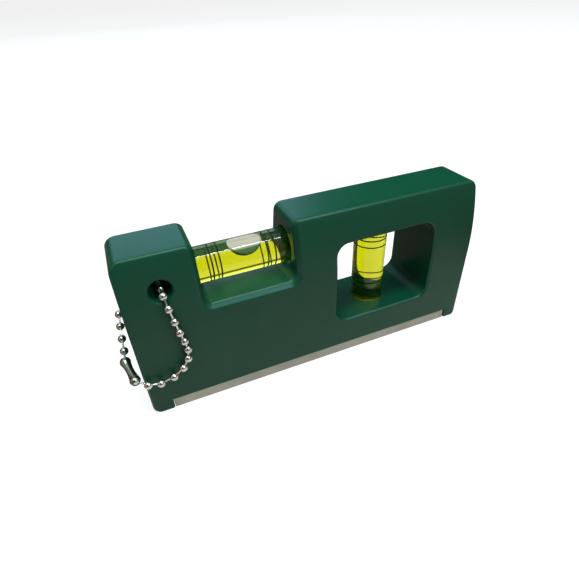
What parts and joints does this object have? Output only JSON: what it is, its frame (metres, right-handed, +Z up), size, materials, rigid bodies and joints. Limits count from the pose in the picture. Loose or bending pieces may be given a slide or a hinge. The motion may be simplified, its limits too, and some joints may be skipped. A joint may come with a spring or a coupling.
{
  "type": "mini spirit level",
  "caption": "Pocket spirit level with a main vial in a top notch, a plumb vial in a window, a metal base strip and a ball chain through one end.",
  "frame": {"origin": "middle of the flat base, halfway along and halfway through the thickness", "axes": "+X along the level from the chain end to the window end, -Y towards the front, +Z up from the base"},
  "size_m": [0.1048, 0.025, 0.0465],
  "materials": {
    "body_plastic": "satin moulded green",
    "strip_metal": "fine ground",
    "clear_plastic": "clear polished",
    "vial_liquid": "clear yellow-green liquid",
    "bubble_air": "clear",
    "ring_black": "matt black",
    "chain_steel": "bright plated"
  },
  "bodies": {
    "level_body": {"body": "body_plastic", "base_strip": "strip_metal", "main_vial_tube": "clear_plastic", "main_vial_plug": "clear_plastic", "main_vial_liquid": "vial_liquid", "main_vial_ring_1": "ring_black", "main_vial_ring_2": "ring_black", "main_vial_ring_3": "ring_black", "main_vial_ring_4": "ring_black", "plumb_vial_tube": "clear_plastic", "plumb_vial_plug": "clear_plastic", "plumb_vial_liquid": "vial_liquid", "plumb_vial_ring_1": "ring_black", "plumb_vial_ring_2": "ring_black", "plumb_vial_ring_3": "ring_black", "plumb_vial_ring_4": "ring_black"},
    "chain": {"chain_ball_01": "chain_steel", "chain_ball_02": "chain_steel", "chain_ball_03": "chain_steel", "chain_ball_04": "chain_steel", "chain_ball_05": "chain_steel", "chain_ball_06": "chain_steel", "chain_ball_07": "chain_steel", "chain_ball_08": "chain_steel", "chain_ball_09": "chain_steel", "chain_ball_10": "chain_steel", "chain_ball_11": "chain_steel", "chain_ball_12": "chain_steel", "chain_ball_13": "chain_steel", "chain_ball_14": "chain_steel", "chain_ball_15": "chain_steel", "chain_ball_16": "chain_steel", "chain_ball_17": "chain_steel", "chain_ball_18": "chain_steel", "chain_ball_19": "chain_steel", "chain_ball_20": "chain_steel", "chain_ball_21": "chain_steel", "chain_ball_22": "chain_steel", "chain_ball_23": "chain_steel", "chain_ball_24": "chain_steel", "chain_ball_25": "chain_steel", "chain_ball_26": "chain_steel", "chain_ball_27": "chain_steel", "chain_connector": "chain_steel"},
    "main_bubble": {"main_vial_bubble": "bubble_air"},
    "plumb_bubble": {"plumb_vial_bubble": "bubble_air"}
  },
  "joints": [
    {"name": "chain_swing", "type": "hinge", "parent": "level_body", "child": "chain", "pos_m": [-0.04035, 0, 0.0376], "axis": [0, 1, 0], "range_deg": [0, 215]},
    {"name": "main_bubble_run", "type": "slide", "parent": "level_body", "child": "main_bubble", "axis": [1, 0, 0], "range_m": [-0.0063, 0.0037], "stiffness_N_per_m": 10},
    {"name": "plumb_bubble_run", "type": "slide", "parent": "level_body", "child": "plumb_bubble", "axis": [0, 0, 1], "range_m": [-0.012, 0], "stiffness_N_per_m": 10, "springref_m": 0.001}
  ]
}
